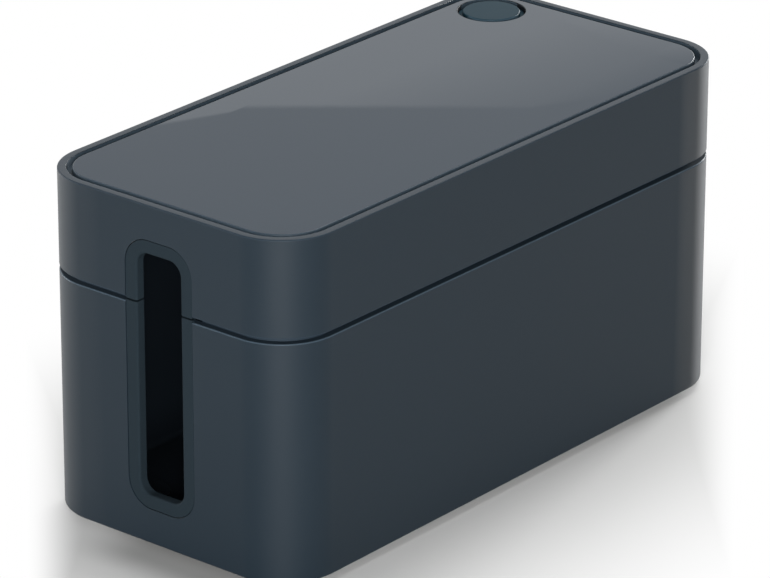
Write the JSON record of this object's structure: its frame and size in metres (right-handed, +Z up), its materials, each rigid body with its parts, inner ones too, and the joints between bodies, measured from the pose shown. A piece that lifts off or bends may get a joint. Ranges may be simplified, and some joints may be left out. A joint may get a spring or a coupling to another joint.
{
  "type": "cable management box",
  "caption": "Rounded box that hides a socket strip: open tub, lift-off lid with inset top panel and plugged round outlet, soft-lined cable slots in the ends, rubber feet.",
  "frame": {"origin": "on the ground under the middle of the box, in the plane of the feet's undersides", "axes": "+X along the box's length, towards the end with the round outlet; +Y across the box, towards the side with the round outlet; +Z up"},
  "size_m": [0.246, 0.116, 0.128],
  "materials": {
    "shell": "fine matt moulded texture",
    "panel": "satin, slightly glossy",
    "soft_trim": "soft matt",
    "foot": "matt"
  },
  "bodies": {
    "base": {"tub": "shell", "slot_trim_lower_left": "soft_trim", "slot_trim_lower_right": "soft_trim", "foot_front_left": "foot", "foot_front_right": "foot", "foot_rear_left": "foot", "foot_rear_right": "foot"},
    "lid": {"lid_shell": "shell", "lid_panel": "panel", "slot_trim_upper_left": "soft_trim", "slot_trim_upper_right": "soft_trim"},
    "plug": {"outlet_plug": "soft_trim"}
  },
  "joints": [
    {"name": "lid_lift", "type": "slide", "parent": "base", "child": "lid", "axis": [0, 0, 1], "range_m": [0, 0.12]},
    {"name": "plug_lift", "type": "slide", "parent": "lid", "child": "plug", "axis": [0, 0, 1], "range_m": [0, 0.03]}
  ]
}
